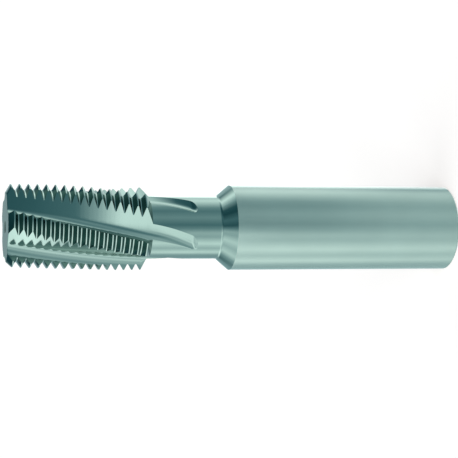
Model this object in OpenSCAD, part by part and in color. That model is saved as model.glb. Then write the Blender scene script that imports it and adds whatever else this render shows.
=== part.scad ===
// Solid carbide thread mill: a round shank, a slimmer neck, and a fluted head with rings of thread teeth.
// It stands on the end of its shank, with the tool axis along +Z and the teeth at the top.

/* [Shank] */
// Diameter of the plain round shank
shank_d = 20; // [16:0.1:25]
// Length of the shank, from its end face to the shoulder
shank_len = 54.6; // [30:0.1:90]
// Bevel round the end face
shank_bevel = 0.3; // [0.1:0.1:2]

/* [Neck] */
// Diameter of the neck between shoulder and teeth
neck_d = 14.7; // [14:0.1:15.6]
// Length of the neck, from the shoulder to the foot of the last tooth
neck_len = 16.4; // [14:0.1:30]
// Length of the cone that leads from the shank to the neck
shoulder_len = 3.1; // [1:0.1:8]
// Radius where the cone runs into the neck
neck_fillet = 0.8; // [0.2:0.1:1.2]

/* [Teeth] */
// Diameter over the crests of the teeth
cutter_d = 19.8; // [19:0.1:22]
// Pitch of the thread that the teeth cut
pitch = 2; // [1:0.05:2.5]
// Rings of teeth along the head
tooth_rows = 16; // [4:1:18]
// Angle between the two flanks of a tooth
thread_angle = 60; // [50:1:70]
// Width of the flat on a crest
crest_flat = 0.25; // [0.1:0.01:0.4]
// Width of the flat between two teeth
root_flat = 0.25; // [0.1:0.01:0.4]
// Angle at which a land falls away behind its cutting edge
relief_angle = 6; // [0:0.1:7]

/* [Flutes] */
// Number of flutes round the head
flutes = 5; // [3:1:6]
// Helix angle of the cutting edges, right-hand
helix_angle = 14; // [0:0.5:30]
// Rake angle of the cutting faces
rake_angle = 6; // [0:0.5:12]
// Distance from the axis to the flat floor of a flute
flute_floor = 6.55; // [6:0.05:6.8]
// Angle by which the flat floor of a flute is turned away from its cutting edge
floor_lean = 3; // [0:0.5:8]
// Radius between the floor of a flute and its cutting face
flute_fillet = 2.2; // [0.6:0.1:2.6]
// Length that a flute keeps its depth behind the last tooth
flute_past = 9.2; // [2:0.1:11]
// Radius at which a flute runs out on the neck
runout_radius = 2.2; // [1.5:0.1:8]
// Turn of a flute towards its cutting edge where it runs out
runout_bend = 10; // [0:0.5:12]
// Length of that turn, from the end of the flute
bend_len = 10; // [4:0.1:12]
// Angle of the first cutting edge at the tip, measured from +X
edge_angle = -66.5; // [-180:0.5:180]

/* [Front end] */
// Diameter where the first tooth's flank meets the front bevel
front_d = 16.2; // [15.6:0.1:17.5]
// Diameter of the flat front face
face_d = 15.8; // [12:0.1:15.8]
// Length of the bevel between the two
front_bevel = 0.1; // [0.05:0.05:1]
// Diameter of the centre hole in the front face
centre_hole_d = 2.8; // [1:0.1:5]
// Depth of the centre hole
centre_hole_depth = 3; // [0.5:0.1:10]

/* [Hidden] */

carbide = [0.60, 0.68, 0.67];
round_steps = 96;
fillet_steps = 4;
neck_fillet_steps = 4;
land_steps = 6;
runout_steps = 6;
neck_steps = 6;
heel_passes = 8;

// The lofted head is this much slimmer than the turned neck where the two overlap.
seam = 0.02;
// Length of plain neck that the loft covers below the end of the flutes
plain_lap = 1;
// Depth to which the loft is sunk into the turned neck
sunk = 0.5;

shank_r = shank_d / 2;
neck_r = neck_d / 2;
crest_r = cutter_d / 2;
flank_slope = tan(thread_angle / 2);
tooth_depth = (pitch - crest_flat - root_flat) / 2 / flank_slope;
root_r = crest_r - tooth_depth;

sector_angle = 360 / flutes;
// Turn of the cutting edges, in degrees for each millimetre along the axis
twist = tan(helix_angle) / crest_r * 180 / PI;
// Fall of the lands, in millimetres for each degree behind the cutting edge
land_fall = crest_r * tan(relief_angle) * PI / 180;

// Heights along the axis, from the end face of the shank
neck_z = shank_len + shoulder_len;
head_z = neck_z + neck_len;
last_crest_z = head_z + (crest_r - neck_r) * flank_slope + crest_flat / 2;
first_crest_z = last_crest_z + (tooth_rows - 1) * pitch;
front_z = first_crest_z + crest_flat / 2 + (crest_r - front_d / 2) * flank_slope;
tip_z = front_z + front_bevel;

// Where the floor of a flute starts to rise, and where it comes out on the neck
rise_z = head_z - flute_past;
neck_cut = max(0.1, neck_r - flute_floor);
runout_len = sqrt(pow(runout_radius, 2) - pow(runout_radius - neck_cut, 2));
flute_end_z = rise_z - runout_len;
join_z = flute_end_z - plain_lap;

function polar(r, a) = [r * cos(a), r * sin(a)];
function angle_of(p) = atan2(p[1], p[0]);
function within(p, r) = p * min(1, r / norm(p));
function mix(a, b, t) = a + (b - a) * t;

// Height of the flute floor above the axis at a place along the tool
function floor_at(z) =
    let (along = min(runout_radius, max(0, rise_z - z)))
    flute_floor + runout_radius - sqrt(pow(runout_radius, 2) - pow(along, 2));

// Point of the cutting face at a radius: the face leans by the rake angle from the crest's edge at angle 0
function rake_point(r) =
    let (t = crest_r * cos(rake_angle) - sqrt(pow(r, 2) - pow(crest_r * sin(rake_angle), 2)))
    [crest_r - t * cos(rake_angle), -t * sin(rake_angle)];

// Angle at which the flute floor meets the falling land behind it
function heel_angle(r, floor_x, fall, edge, guess, passes) = passes == 0 ? guess :
    let (land_r = r - fall * (sector_angle + edge - guess))
    heel_angle(r, floor_x, fall, edge, floor_lean + acos(min(1, floor_x / land_r)), passes - 1);

// Centre of the fillet in the corner of a flute: its radius away from the floor and from the cutting face
function fillet_centre(floor_x) =
    let (above_floor = floor_x + flute_fillet,
         off_face = flute_fillet - crest_r * sin(rake_angle))
    [above_floor * cos(rake_angle) - off_face * sin(floor_lean),
     above_floor * sin(rake_angle) + off_face * cos(floor_lean)] / cos(floor_lean - rake_angle);

// Fillet in the corner of a flute, from the cutting face to the floor
function fillet_points(floor_x) =
    [for (i = [0:fillet_steps])
        let (a = mix(rake_angle - 90, floor_lean - 180, i / fillet_steps))
        fillet_centre(floor_x) + polar(flute_fillet, a)];

// One flute and the land behind it, at a section of radius r
function sector(r, floor_x, fall) =
    let (edge_point = within(rake_point(max(r, floor_x)), r),
         edge = angle_of(edge_point),
         corner = fillet_points(floor_x),
         floor_half = acos(min(1, floor_x / r)),
         floor_start = max(angle_of(corner[fillet_steps]) + 0.5, floor_lean - floor_half),
         first_guess = floor_lean + floor_half,
         heel = max(heel_angle(r, floor_x, fall, edge, first_guess, heel_passes), floor_start + 1),
         heel_r = r - fall * (sector_angle + edge - heel))
    concat(
        [edge_point],
        [for (p = corner) within(p, r)],
        [within(polar(floor_x / cos(floor_lean - floor_start), floor_start), r)],
        [for (i = [0:land_steps - 1])
            let (a = mix(heel, sector_angle + edge, i / land_steps))
            polar(mix(heel_r, r, i / land_steps), a)]);

function turned(p, a) = [p[0] * cos(a) - p[1] * sin(a), p[0] * sin(a) + p[1] * cos(a)];

// Whole section at a height; turn_z is the height whose cutting edges it follows
function section(z, r, fall, turn_z) =
    let (points = sector(r, floor_at(turn_z), fall),
         to_end = (turn_z - flute_end_z) / bend_len,
         bend = runout_bend * pow(1 - min(1, max(0, to_end)), 2),
         start = edge_angle - twist * (tip_z - turn_z) - bend)
    [for (k = [0:flutes - 1]) for (p = points)
        let (q = turned(p, start + k * sector_angle))
        [q[0], q[1], z]];

// Sections of the neck, from the plain part up through the run-out of the flutes
neck_sections = concat(
    [section(join_z - sunk, neck_r - seam, 0, join_z - sunk)],
    [for (i = [0:runout_steps])
        let (z = mix(flute_end_z, rise_z, pow(i / runout_steps, 2)))
        section(z, neck_r - seam, 0, z)],
    [for (i = [1:neck_steps])
        let (z = mix(rise_z, head_z, i / neck_steps))
        section(z, neck_r - seam, 0, z)]);

// Sections of the toothed head: both edges of each crest, and both edges of each root
tooth_sections = [for (i = [0:tooth_rows - 1])
    let (crest_z = last_crest_z + i * pitch,
         root_z = crest_z + pitch / 2,
         crests = [[crest_z - crest_flat / 2, crest_r], [crest_z + crest_flat / 2, crest_r]],
         roots = [[root_z - root_flat / 2, root_r], [root_z + root_flat / 2, root_r]])
    for (s = i < tooth_rows - 1 ? concat(crests, roots) : crests)
        section(s[0], s[1], land_fall, s[0])];

// Sections of the front end: the first tooth's front flank, the face, and the centre hole
front_sections = [
    section(front_z, front_d / 2, 0, front_z),
    section(tip_z, face_d / 2, 0, tip_z),
    section(tip_z, centre_hole_d / 2, 0, tip_z),
    section(tip_z - centre_hole_depth, centre_hole_d / 2, 0, tip_z)];

// Solid through a row of sections with equal numbers of points
module loft(sections) {
    n = len(sections[0]);
    last = len(sections) - 1;
    sides = [for (j = [0:last - 1]) for (i = [0:n - 1])
        let (a = j * n + i,
             b = j * n + (i + 1) % n,
             c = b + n,
             d = a + n)
        each [[a, d, c], [a, c, b]]];
    polyhedron(
        points = [for (s = sections) each s],
        faces = concat(
            [[for (i = [0:n - 1]) i]],
            sides,
            [[for (i = [n - 1:-1:0]) last * n + i]]));
}

// Shank, shoulder and plain neck, turned as one form
module turned_body() {
    cone_angle = atan2(shank_r - neck_r, shoulder_len);
    bend_centre = [neck_r + neck_fillet, neck_z + neck_fillet * tan(cone_angle / 2)];
    rotate_extrude($fn = round_steps)
        polygon(concat(
            [[0, 0],
             [shank_r - shank_bevel, 0],
             [shank_r, shank_bevel],
             [shank_r, shank_len]],
            [for (i = [0:neck_fillet_steps])
                bend_centre - polar(neck_fillet, cone_angle * (1 - i / neck_fillet_steps))],
            [[neck_r, join_z],
             [0, join_z]]));
}

module thread_mill() {
    color(carbide) {
        turned_body();
        loft(concat(neck_sections, tooth_sections, front_sections));
    }
}

thread_mill();
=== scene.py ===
import math

import bpy
import numpy as np
from mathutils import Matrix, Vector


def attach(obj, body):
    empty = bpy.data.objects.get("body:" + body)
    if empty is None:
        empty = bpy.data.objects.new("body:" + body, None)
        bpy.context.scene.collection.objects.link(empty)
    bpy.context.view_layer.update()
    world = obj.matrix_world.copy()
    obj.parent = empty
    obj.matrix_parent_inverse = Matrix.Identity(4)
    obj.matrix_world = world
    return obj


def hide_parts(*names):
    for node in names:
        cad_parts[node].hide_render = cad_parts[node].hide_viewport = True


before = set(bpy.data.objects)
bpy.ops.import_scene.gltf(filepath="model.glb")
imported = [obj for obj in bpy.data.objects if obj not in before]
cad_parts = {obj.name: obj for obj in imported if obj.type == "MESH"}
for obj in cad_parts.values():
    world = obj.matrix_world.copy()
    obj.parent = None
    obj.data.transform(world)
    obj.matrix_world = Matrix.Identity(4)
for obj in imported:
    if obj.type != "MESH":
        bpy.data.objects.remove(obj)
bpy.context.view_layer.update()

# Sizes of the tool, in millimetres, as in the solid
MM = 0.001
SHANK_R = 10.0
SHANK_LEN = 54.6
SHANK_BEVEL = 0.3
NECK_R = 7.35
NECK_LEN = 16.4
SHOULDER_LEN = 3.1
NECK_FILLET = 0.8
CREST_R = 9.9
PITCH = 2.0
TOOTH_ROWS = 16
THREAD_ANGLE = math.radians(60)
CREST_FLAT = 0.25
ROOT_FLAT = 0.25
RELIEF = math.radians(6)
FLUTES = 5
HELIX = math.radians(14)
RAKE = math.radians(6)
FLUTE_FLOOR = 6.55
FLOOR_LEAN = math.radians(3)
FLUTE_FILLET = 2.2
FLUTE_PAST = 9.2
RUNOUT_R = 2.2
RUNOUT_BEND = math.radians(10)
BEND_LEN = 10.0
EDGE_ANGLE = math.radians(-66.5)
FRONT_R = 8.1
FACE_R = 7.9
FRONT_BEVEL = 0.1
HOLE_R = 1.4
HOLE_DEPTH = 3.0

# Rounding of the tooth edges, and of the corners of shank and shoulder
EDGE_ROUND = 0.06
BODY_ROUND = 0.1

# Fineness of the mesh
RAKE_POINTS = 4
FILLET_POINTS = 16
FLOOR_POINTS = 8
LAND_POINTS = 13
ROUND_POINTS = 4
RUNOUT_RINGS = 24
NECK_RINGS = 20
HEEL_PASSES = 12
# Length of plain neck from the last round ring to the end of the flutes
PLAIN_LAP = 0.8
# Distance from the last ring of the neck to the foot of the teeth
FOOT_GAP = 0.05
# Points nearer to a section's radius than this lie on it
TOUCH = 0.0001
# Least angle that the floor of a flute takes up
LEAST_FLOOR = math.radians(1)
# Edges that bend by more than this stay sharp
SHARP_ANGLE = math.radians(24)

# Slope and depth of the teeth, and the angle of one flute with its land
FLANK_SLOPE = math.tan(THREAD_ANGLE / 2)
TOOTH_DEPTH = (PITCH - CREST_FLAT - ROOT_FLAT) / 2 / FLANK_SLOPE
ROOT_R = CREST_R - TOOTH_DEPTH
SECTOR = 2 * math.pi / FLUTES
# Turn of the cutting edges for each millimetre along the axis
TWIST = math.tan(HELIX) / CREST_R
# Fall of a land for each radian behind its cutting edge
FALL = CREST_R * math.tan(RELIEF)

# Heights along the axis, from the end of the shank
NECK_Z = SHANK_LEN + SHOULDER_LEN
HEAD_Z = NECK_Z + NECK_LEN
LAST_CREST_Z = HEAD_Z + (CREST_R - NECK_R) * FLANK_SLOPE + CREST_FLAT / 2
FIRST_CREST_Z = LAST_CREST_Z + (TOOTH_ROWS - 1) * PITCH
FRONT_Z = FIRST_CREST_Z + CREST_FLAT / 2 + (CREST_R - FRONT_R) * FLANK_SLOPE
TIP_Z = FRONT_Z + FRONT_BEVEL
RISE_Z = HEAD_Z - FLUTE_PAST
RUNOUT_LEN = math.sqrt(RUNOUT_R**2 - (RUNOUT_R - (NECK_R - FLUTE_FLOOR)) ** 2)
FLUTE_END_Z = RISE_Z - RUNOUT_LEN

# Points of a flute, of a flute with its land, and of a whole ring
CUT_POINTS = RAKE_POINTS + FILLET_POINTS + FLOOR_POINTS
SECTOR_POINTS = CUT_POINTS + LAND_POINTS
RING_POINTS = FLUTES * SECTOR_POINTS

# Looks of the surfaces, in the order of the material slots
SHANK, NECK, FLUTE, TEETH, FACE = range(5)


def floor_at(z):
    """Distance from the axis to a flute's floor at height z, with its rise where the flute ends."""
    along = min(RUNOUT_R, max(0, RISE_Z - z))
    return FLUTE_FLOOR + RUNOUT_R - math.sqrt(RUNOUT_R**2 - along**2)


def rake_point(r):
    """Point of the cutting face at radius r, with the crest's cutting edge on the local X axis."""
    t = CREST_R * math.cos(RAKE) - math.sqrt(r**2 - (CREST_R * math.sin(RAKE)) ** 2)
    return np.array([CREST_R - t * math.cos(RAKE), -t * math.sin(RAKE)])


def heel_angle(r, floor_x, fall, edge):
    """Angle at which the floor of a flute meets the falling land behind it."""
    angle = FLOOR_LEAN + math.acos(min(1, floor_x / r))
    for _ in range(HEEL_PASSES):
        land_r = r - fall * (SECTOR + edge - angle)
        angle = FLOOR_LEAN + math.acos(min(1, floor_x / land_r))
    return angle


def fillet_points(floor_x):
    """The fillet of a flute, from the cutting face to the floor."""
    above_floor = floor_x + FLUTE_FILLET
    off_face = FLUTE_FILLET - CREST_R * math.sin(RAKE)
    centre = np.array(
        [
            above_floor * math.cos(RAKE) - off_face * math.sin(FLOOR_LEAN),
            above_floor * math.sin(RAKE) + off_face * math.cos(FLOOR_LEAN),
        ]
    ) / math.cos(FLOOR_LEAN - RAKE)
    turn = np.linspace(RAKE - math.pi / 2, FLOOR_LEAN - math.pi, FILLET_POINTS)
    return centre + FLUTE_FILLET * np.stack([np.cos(turn), np.sin(turn)], axis=1)


def within(points, r):
    """Points of a flute, with those outside radius r spread over the round surface beside the flute."""
    reach = np.linalg.norm(points, axis=1)
    angle = np.arctan2(points[:, 1], points[:, 0])
    inside = np.flatnonzero(reach < r - TOUCH)
    outside = inside[0] if len(inside) else len(points)
    angle[:outside] = np.linspace(angle[0], angle[outside - 1], outside)
    return np.minimum(reach, r)[:, None] * np.stack([np.cos(angle), np.sin(angle)], axis=1)


def sector_points(r, floor_x, fall):
    """One flute and the land behind it, in a section of radius r."""
    edge_point = rake_point(max(r, floor_x))
    edge = math.atan2(edge_point[1], edge_point[0])
    fillet = fillet_points(floor_x)
    corner_end = math.atan2(fillet[-1][1], fillet[-1][0])
    heel = max(heel_angle(r, floor_x, fall, edge), corner_end + LEAST_FLOOR)
    heel_r = r - fall * (SECTOR + edge - heel)
    heel_point = heel_r * np.array([math.cos(heel), math.sin(heel)])

    steps = np.linspace(0, 1, RAKE_POINTS, endpoint=False)[:, None]
    rake = edge_point + (fillet[0] - edge_point) * steps
    steps = np.linspace(0, 1, FLOOR_POINTS + 2)[1:-1, None]
    floor = fillet[-1] + (heel_point - fillet[-1]) * steps
    steps = np.linspace(0, 1, LAND_POINTS, endpoint=False)
    land_a = heel + (SECTOR + edge - heel) * steps
    land_r = heel_r + (r - heel_r) * steps
    land = np.stack([land_r * np.cos(land_a), land_r * np.sin(land_a)], axis=1)
    return np.concatenate([within(np.concatenate([rake, fillet, floor]), r), land])


def section(z, r, fall=0.0, turn_z=None):
    """All points of the tool's section at height z, turned with the helix as at turn_z if that is given."""
    turn_z = z if turn_z is None else turn_z
    points = sector_points(r, floor_at(turn_z), fall)
    turn_z = max(turn_z, FLUTE_END_Z)
    bend = RUNOUT_BEND * max(0, 1 - (turn_z - FLUTE_END_Z) / BEND_LEN) ** 2
    start = EDGE_ANGLE - TWIST * (TIP_Z - turn_z) - bend
    ring = []
    for k in range(FLUTES):
        a = start + k * SECTOR
        turned = points @ np.array([[math.cos(a), math.sin(a)], [-math.sin(a), math.cos(a)]])
        ring.append(turned)
    ring = np.concatenate(ring)
    return np.column_stack([ring, np.full(len(ring), z)])


def plain_ring(z, r):
    """A round section that lines up with the points of the fluted ones."""
    ring = section(FLUTE_END_Z, NECK_R)
    angle = np.arctan2(ring[:, 1], ring[:, 0])
    return np.column_stack([r * np.cos(angle), r * np.sin(angle), np.full(len(angle), z)])


def rounded(profile, radius):
    """A profile of (z, r) points with each inner corner replaced by a small arc."""
    points = [np.array(p, float) for p in profile]
    out = [points[0]]
    for before, here, after in zip(points, points[1:], points[2:]):
        u = (before - here) / np.linalg.norm(before - here)
        v = (after - here) / np.linalg.norm(after - here)
        half = math.acos(max(-1, min(1, float(u @ v)))) / 2
        cut = radius / math.tan(half)
        middle = (u + v) / np.linalg.norm(u + v)
        centre = here + middle * radius / math.sin(half)
        a, b = here + u * cut - centre, here + v * cut - centre
        for t in np.linspace(0, 1, ROUND_POINTS):
            d = a * (1 - t) + b * t
            out.append(centre + d / np.linalg.norm(d) * radius)
    out.append(points[-1])
    return out


def tooth_profile():
    """Crest and root corners of the whole row of teeth, from the neck to the front end."""
    profile = [(HEAD_Z, NECK_R)]
    for i in range(TOOTH_ROWS):
        crest_z = LAST_CREST_Z + i * PITCH
        profile += [(crest_z - CREST_FLAT / 2, CREST_R), (crest_z + CREST_FLAT / 2, CREST_R)]
        if i < TOOTH_ROWS - 1:
            root_z = crest_z + PITCH / 2
            profile += [(root_z - ROOT_FLAT / 2, ROOT_R), (root_z + ROOT_FLAT / 2, ROOT_R)]
    profile.append((FRONT_Z, FRONT_R))
    return rounded(profile, EDGE_ROUND)


def neck_bend():
    """The fillet between the shoulder's cone and the neck, as (z, r) points."""
    cone = math.atan2(SHANK_R - NECK_R, SHOULDER_LEN)
    z = NECK_Z + NECK_FILLET * math.tan(cone / 2)
    turns = np.linspace(cone, 0, ROUND_POINTS * 2)
    return [(z - NECK_FILLET * math.sin(t), NECK_R + NECK_FILLET * (1 - math.cos(t))) for t in turns]


def tool_rings():
    """Rings of the mesh from shank end to centre hole, each with the look of the strip above it."""
    corners = [
        (0, SHANK_R - SHANK_BEVEL),
        (SHANK_BEVEL, SHANK_R),
        (SHANK_LEN, SHANK_R),
        (NECK_Z, NECK_R),
    ]
    rings = [(plain_ring(*corners[0]), SHANK)]
    for z, r in rounded(corners, BODY_ROUND)[1:-1]:
        rings.append((plain_ring(z, r), NECK if z > SHANK_LEN else SHANK))
    for z, r in neck_bend():
        rings.append((plain_ring(z, r), NECK))
    rings.append((plain_ring(FLUTE_END_Z - PLAIN_LAP, NECK_R), NECK))
    for t in np.linspace(0, 1, RUNOUT_RINGS):
        rings.append((section(FLUTE_END_Z + RUNOUT_LEN * t**2, NECK_R), NECK))
    for z in np.linspace(RISE_Z, HEAD_Z - FOOT_GAP, NECK_RINGS)[1:]:
        rings.append((section(z, NECK_R), NECK))
    rings.append((section(HEAD_Z, NECK_R), TEETH))
    for z, r in tooth_profile()[1:-1]:
        rings.append((section(z, r, FALL), TEETH))
    rings.append((section(FRONT_Z, FRONT_R), FACE))
    rings.append((section(TIP_Z, FACE_R), FACE))
    rings.append((section(TIP_Z, HOLE_R), FACE))
    rings.append((section(TIP_Z - HOLE_DEPTH, HOLE_R, turn_z=TIP_Z), FACE))
    return rings


def tool_mesh():
    """The whole tool as one closed mesh of quads."""
    rings = tool_rings()
    n = RING_POINTS
    vertices = np.concatenate([points for points, _ in rings]) * MM
    faces = [tuple(reversed(range(n)))]
    looks = [SHANK]
    for j, (_, look) in enumerate(rings[:-1]):
        for i in range(n):
            a, b = j * n + i, j * n + (i + 1) % n
            faces.append((a, b, b + n, a + n))
            in_flute = look == TEETH and i % SECTOR_POINTS < CUT_POINTS
            looks.append(FLUTE if in_flute else look)
    top = (len(rings) - 1) * n
    faces.append(tuple(range(top, top + n)))
    looks.append(FACE)
    mesh = bpy.data.meshes.new("thread_mill_finish")
    mesh.from_pydata(vertices.tolist(), [], faces)
    mesh.polygons.foreach_set("material_index", looks)
    mesh.shade_smooth()
    mesh.set_sharp_from_angle(angle=SHARP_ANGLE)
    mesh.update()
    return mesh


# Tones of the carbide
TEAL = (0.36, 0.47, 0.43)
LIGHT_TEAL = (0.44, 0.55, 0.50)
DARK_TEAL = (0.17, 0.29, 0.26)
# Painted shade for the flanks of the teeth, darkening the valleys between them
FLANK_SHADE = (0.12, 0.22, 0.20)
# Parts by which its tone and its roughness vary
TONE_SPREAD = 0.06
GLOSS_SPREAD = 0.2
# Fineness of the clouds in its tone, for each metre
CLOUD_SCALE = 120.0
CLOUD_DETAIL = 2.0
# Fineness of the grinding marks for each metre, where they run round the axis and where they run along it
ROUND_GRAIN = (150, 150, 9000)
LONG_GRAIN = (3000, 3000, 150)
MARK_DETAIL = 3.0
# Depth of the grinding marks, in metres
MARK_DEPTH = 0.00001
# Parts of the facing along the axis between which a tooth's bright flats turn into its flanks with painted
# shade
FLANK_FROM = 0.3
FLANK_TO = 0.7


def carbide(name, colour, grain, roughness, bump, metallic=1.0):
    """Ground carbide: a metal with fine grinding marks and faint clouds in its tone."""
    material = bpy.data.materials.new(name)
    material.use_nodes = True
    nodes, links = material.node_tree.nodes, material.node_tree.links
    shader = nodes["Principled BSDF"]
    shader.inputs["Metallic"].default_value = metallic
    place = nodes.new("ShaderNodeTexCoord")
    stretch = nodes.new("ShaderNodeMapping")
    stretch.inputs["Scale"].default_value = grain
    links.new(place.outputs["Object"], stretch.inputs["Vector"])
    marks = nodes.new("ShaderNodeTexNoise")
    marks.inputs["Scale"].default_value = 1.0
    marks.inputs["Detail"].default_value = MARK_DETAIL
    links.new(stretch.outputs["Vector"], marks.inputs["Vector"])
    clouds = nodes.new("ShaderNodeTexNoise")
    clouds.inputs["Scale"].default_value = CLOUD_SCALE
    clouds.inputs["Detail"].default_value = CLOUD_DETAIL
    links.new(place.outputs["Object"], clouds.inputs["Vector"])

    gloss = nodes.new("ShaderNodeMapRange")
    gloss.inputs["To Min"].default_value = roughness * (1 - GLOSS_SPREAD)
    gloss.inputs["To Max"].default_value = roughness * (1 + GLOSS_SPREAD)
    links.new(marks.outputs["Fac"], gloss.inputs["Value"])
    links.new(gloss.outputs["Result"], shader.inputs["Roughness"])

    tone = nodes.new("ShaderNodeMix")
    tone.data_type = "RGBA"
    tone.inputs["A"].default_value = (*[c * (1 - TONE_SPREAD) for c in colour], 1)
    tone.inputs["B"].default_value = (*[c * (1 + TONE_SPREAD) for c in colour], 1)
    links.new(clouds.outputs["Fac"], tone.inputs["Factor"])
    links.new(tone.outputs["Result"], shader.inputs["Base Color"])

    relief = nodes.new("ShaderNodeBump")
    relief.inputs["Strength"].default_value = bump
    relief.inputs["Distance"].default_value = MARK_DEPTH
    links.new(marks.outputs["Fac"], relief.inputs["Height"])
    links.new(relief.outputs["Normal"], shader.inputs["Normal"])
    return material


def paint_flank_shade(material, colour):
    """Paints shade into a material where it faces along the axis, darkening the flanks in the valleys
    between the teeth.
    """
    nodes, links = material.node_tree.nodes, material.node_tree.links
    base = nodes["Principled BSDF"].inputs["Base Color"]
    place = nodes.new("ShaderNodeTexCoord")
    facing = nodes.new("ShaderNodeSeparateXYZ")
    links.new(place.outputs["Normal"], facing.inputs["Vector"])
    slope = nodes.new("ShaderNodeMath")
    slope.operation = "ABSOLUTE"
    links.new(facing.outputs["Z"], slope.inputs[0])
    share = nodes.new("ShaderNodeMapRange")
    share.inputs["From Min"].default_value = FLANK_FROM
    share.inputs["From Max"].default_value = FLANK_TO
    links.new(slope.outputs["Value"], share.inputs["Value"])
    tone = nodes.new("ShaderNodeMix")
    tone.data_type = "RGBA"
    links.new(share.outputs["Result"], tone.inputs["Factor"])
    links.new(base.links[0].from_socket, tone.inputs["A"])
    tone.inputs["B"].default_value = (*colour, 1)
    links.new(tone.outputs["Result"], base)
    return material


tool = bpy.data.objects.new("thread_mill_finish", tool_mesh())
bpy.context.scene.collection.objects.link(tool)
materials = {
    SHANK: carbide("ground_shank", LIGHT_TEAL, ROUND_GRAIN, roughness=0.16, bump=0.25, metallic=0.65),
    NECK: carbide("polished_neck", TEAL, ROUND_GRAIN, roughness=0.1, bump=0.1),
    FLUTE: carbide("ground_flute", TEAL, LONG_GRAIN, roughness=0.1, bump=0.1),
    # The teeth get painted shade on their flanks
    TEETH: paint_flank_shade(
        carbide("ground_teeth", LIGHT_TEAL, ROUND_GRAIN, roughness=0.1, bump=0.1), FLANK_SHADE
    ),
    FACE: carbide("ground_face", DARK_TEAL, LONG_GRAIN, roughness=0.3, bump=0.2),
}
for slot in sorted(materials):
    tool.data.materials.append(materials[slot])
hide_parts("thread_mill")
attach(tool, "root")

# Studio cards round the tool: degrees from the camera's side towards the picture's top, then the cards'
# brightness far below the horizon, below it, near it, and high above it
CARDS = [
    (-180, 0.70, 1.10, 0.55, 0.08),
    (-160, 0.45, 0.45, 0.35, 0.08),
    (-140, 0.40, 0.36, 0.35, 0.12),
    (-120, 0.45, 0.46, 1.00, 0.40),
    (-103, 0.80, 0.95, 1.30, 0.85),
    (-82, 0.60, 0.62, 0.95, 0.60),
    (-60, 0.85, 0.95, 1.00, 0.85),
    (-35, 0.55, 0.52, 1.05, 0.52),
    (-20, 0.58, 0.58, 1.05, 0.55),
    (-5, 0.45, 0.32, 0.50, 0.27),
    (9, 0.36, 0.20, 0.20, 0.10),
    (36, 0.50, 0.34, 0.14, 0.18),
    (62, 0.42, 0.24, 0.11, 0.07),
    (80, 0.52, 0.35, 0.14, 0.10),
    (97, 0.70, 0.70, 0.45, 0.40),
    (115, 0.75, 1.00, 1.15, 1.10),
    (138, 0.40, 0.75, 0.45, 0.16),
    (156, 0.90, 1.40, 0.45, 0.10),
    (180, 0.70, 1.10, 0.55, 0.08),
]
BRIGHTEST = 1.4
STUDIO_STRENGTH = 2.0
CARD_DARK = (0.05, 0.93, 1.20)
CARD_LIGHT = (0.93, 1.00, 0.98)
# Brightness at which a card has gone most of the way from its dark colour to its light one
CARD_TURN = 0.3
# Upward parts of a direction between which each row of cards changes over to the next
CHANGE_OVERS = [(-0.42, -0.27), (-0.17, -0.05), (0.17, 0.36)]


def card_colour(brightness):
    """Bluish where a card is dark, nearly white where it is bright."""
    share = 1 - math.exp(-brightness / CARD_TURN)
    level = brightness / BRIGHTEST
    return [level * (dark + (light - dark) * share) for dark, light in zip(CARD_DARK, CARD_LIGHT)]


def card_row(tree, angle, row):
    """One row of cards as a colour ramp round the tool."""
    ramp = tree.nodes.new("ShaderNodeValToRGB")
    stops = ramp.color_ramp.elements
    while len(stops) < len(CARDS):
        stops.new(0.5)
    for stop, card in zip(stops, CARDS):
        stop.position = (card[0] + 180) / 360
        stop.color = (*card_colour(card[row]), 1)
    tree.links.new(angle, ramp.inputs["Fac"])
    return ramp.outputs["Color"]


def change_over(tree, height, limits, below, above):
    """Blends two rows of cards by how far upward a direction points."""
    share = tree.nodes.new("ShaderNodeMapRange")
    share.interpolation_type = "SMOOTHSTEP"
    share.inputs["From Min"].default_value = limits[0]
    share.inputs["From Max"].default_value = limits[1]
    tree.links.new(height, share.inputs["Value"])
    blend = tree.nodes.new("ShaderNodeMix")
    blend.data_type = "RGBA"
    tree.links.new(share.outputs["Result"], blend.inputs["Factor"])
    tree.links.new(below, blend.inputs["A"])
    tree.links.new(above, blend.inputs["B"])
    return blend.outputs["Result"]


def studio_colour(tree, direction):
    """Colour of the studio in a direction."""
    split = tree.nodes.new("ShaderNodeSeparateXYZ")
    tree.links.new(direction, split.inputs["Vector"])
    towards = tree.nodes.new("ShaderNodeMath")
    towards.operation = "MULTIPLY"
    towards.inputs[1].default_value = -1
    tree.links.new(split.outputs["Y"], towards.inputs[0])
    angle = tree.nodes.new("ShaderNodeMath")
    angle.operation = "ARCTAN2"
    tree.links.new(split.outputs["X"], angle.inputs[0])
    tree.links.new(towards.outputs["Value"], angle.inputs[1])
    share = tree.nodes.new("ShaderNodeMapRange")
    share.inputs["From Min"].default_value = -math.pi
    share.inputs["From Max"].default_value = math.pi
    tree.links.new(angle.outputs["Value"], share.inputs["Value"])
    colour = card_row(tree, share.outputs["Result"], 1)
    for row, limits in enumerate(CHANGE_OVERS, start=2):
        above = card_row(tree, share.outputs["Result"], row)
        colour = change_over(tree, split.outputs["Z"], limits, colour, above)
    return colour


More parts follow.
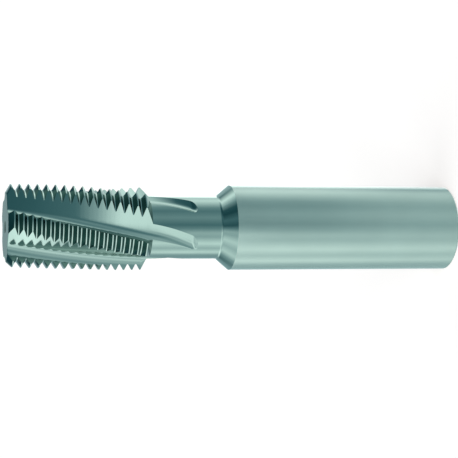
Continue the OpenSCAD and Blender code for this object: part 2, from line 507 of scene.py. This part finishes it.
def background():
    """White where the camera looks past the floor, and the studio's cards where metal reflects them."""
    world = bpy.data.worlds.new("studio")
    world.use_nodes = True
    bpy.context.scene.world = world
    tree = world.node_tree
    place = tree.nodes.new("ShaderNodeTexCoord")
    cards = tree.nodes["Background"]
    cards.inputs["Strength"].default_value = STUDIO_STRENGTH
    tree.links.new(studio_colour(tree, place.outputs["Generated"]), cards.inputs["Color"])
    white = tree.nodes.new("ShaderNodeBackground")
    white.inputs["Color"].default_value = (1, 1, 1, 1)
    path = tree.nodes.new("ShaderNodeLightPath")
    pick = tree.nodes.new("ShaderNodeMixShader")
    tree.links.new(path.outputs["Is Camera Ray"], pick.inputs["Fac"])
    tree.links.new(cards.outputs["Background"], pick.inputs[1])
    tree.links.new(white.outputs["Background"], pick.inputs[2])
    tree.links.new(pick.outputs["Shader"], tree.nodes["World Output"].inputs["Surface"])


# Floor, with its size in metres
FLOOR_SIZE = 6
FLOOR_COLOUR = (0.8, 0.8, 0.8, 1)
FLOOR_ROUGHNESS = 0.9
# Light that the floor adds for the camera: with the studio's own it comes to white, and a shadow still shows
FLOOR_GLOW = (0.55, 0.45, 0.43, 1)


def larger(tree, first, second):
    """The larger of two values."""
    node = tree.nodes.new("ShaderNodeMath")
    node.operation = "MAXIMUM"
    tree.links.new(first, node.inputs[0])
    tree.links.new(second, node.inputs[1])
    return node.outputs["Value"]


def floor():
    """A pale floor that shows white and keeps the tool's shadow. Metal reflects the cards instead."""
    bpy.ops.mesh.primitive_plane_add(size=FLOOR_SIZE)
    obj = bpy.context.object
    obj.name = "floor"
    material = bpy.data.materials.new("floor")
    material.use_nodes = True
    tree = material.node_tree
    plain = tree.nodes["Principled BSDF"]
    plain.inputs["Base Color"].default_value = FLOOR_COLOUR
    plain.inputs["Roughness"].default_value = FLOOR_ROUGHNESS
    glow = tree.nodes.new("ShaderNodeEmission")
    glow.inputs["Color"].default_value = FLOOR_GLOW
    lit = tree.nodes.new("ShaderNodeAddShader")
    tree.links.new(plain.outputs["BSDF"], lit.inputs[0])
    tree.links.new(glow.outputs["Emission"], lit.inputs[1])
    path = tree.nodes.new("ShaderNodeLightPath")
    seen = larger(tree, path.outputs["Is Camera Ray"], path.outputs["Is Glossy Ray"])
    seen = larger(tree, seen, path.outputs["Is Transmission Ray"])
    pick = tree.nodes.new("ShaderNodeMixShader")
    tree.links.new(seen, pick.inputs["Fac"])
    tree.links.new(plain.outputs["BSDF"], pick.inputs[1])
    tree.links.new(lit.outputs["Shader"], pick.inputs[2])
    tree.links.new(pick.outputs["Shader"], tree.nodes["Material Output"].inputs["Surface"])
    obj.data.materials.append(material)
    obj.visible_glossy = False


# Camera: the picture is 458 px wide, and the tool lies across it with its tip to the left
PICTURE = 458
FOCAL_PX = 1406
SENSOR_WIDTH = 36
CLIP_START = 0.01
LOOK_DOWN = math.radians(14.29)
ROLL = math.radians(0.112)
# Place of the shank's end as the camera sees it, in millimetres
END_RIGHT = 52.71
END_DOWN = -0.224
END_AWAY = 346.22


def camera():
    """A camera turned on its side, so that the tool's axis lies across the picture."""
    data = bpy.data.cameras.new("camera")
    data.sensor_width = SENSOR_WIDTH
    data.lens = SENSOR_WIDTH * FOCAL_PX / PICTURE
    data.clip_start = CLIP_START
    obj = bpy.data.objects.new("camera", data)
    bpy.context.scene.collection.objects.link(obj)
    right = Vector((0, -math.sin(LOOK_DOWN), -math.cos(LOOK_DOWN)))
    up = Vector((1, 0, 0))
    away = Vector((0, math.cos(LOOK_DOWN), -math.sin(LOOK_DOWN)))
    turned_right = right * math.cos(ROLL) + up * math.sin(ROLL)
    turned_up = up * math.cos(ROLL) - right * math.sin(ROLL)
    place = -(turned_right * END_RIGHT - turned_up * END_DOWN + away * END_AWAY) * MM
    axes = Matrix((turned_right, turned_up, -away)).transposed()
    obj.matrix_world = Matrix.Translation(place) @ axes.to_4x4()
    bpy.context.scene.camera = obj


# Key light: a broad soft sun on the camera's side, so that the shadow falls behind the tool
SUN_FROM = Vector((0, -0.7, 0.6))
SUN_ENERGY = 1.1
SUN_WIDTH = math.radians(45)


def key_light():
    """The sun, which lights the floor evenly and leaves the reflections to the cards."""
    data = bpy.data.lights.new("key", "SUN")
    data.energy = SUN_ENERGY
    data.angle = SUN_WIDTH
    obj = bpy.data.objects.new("key", data)
    obj.location = SUN_FROM
    obj.rotation_mode = "QUATERNION"
    obj.rotation_quaternion = (-SUN_FROM).to_track_quat("-Z", "Y")
    obj.visible_glossy = False
    bpy.context.scene.collection.objects.link(obj)


background()
floor()
key_light()
camera()
bpy.context.scene.view_settings.view_transform = "Standard"
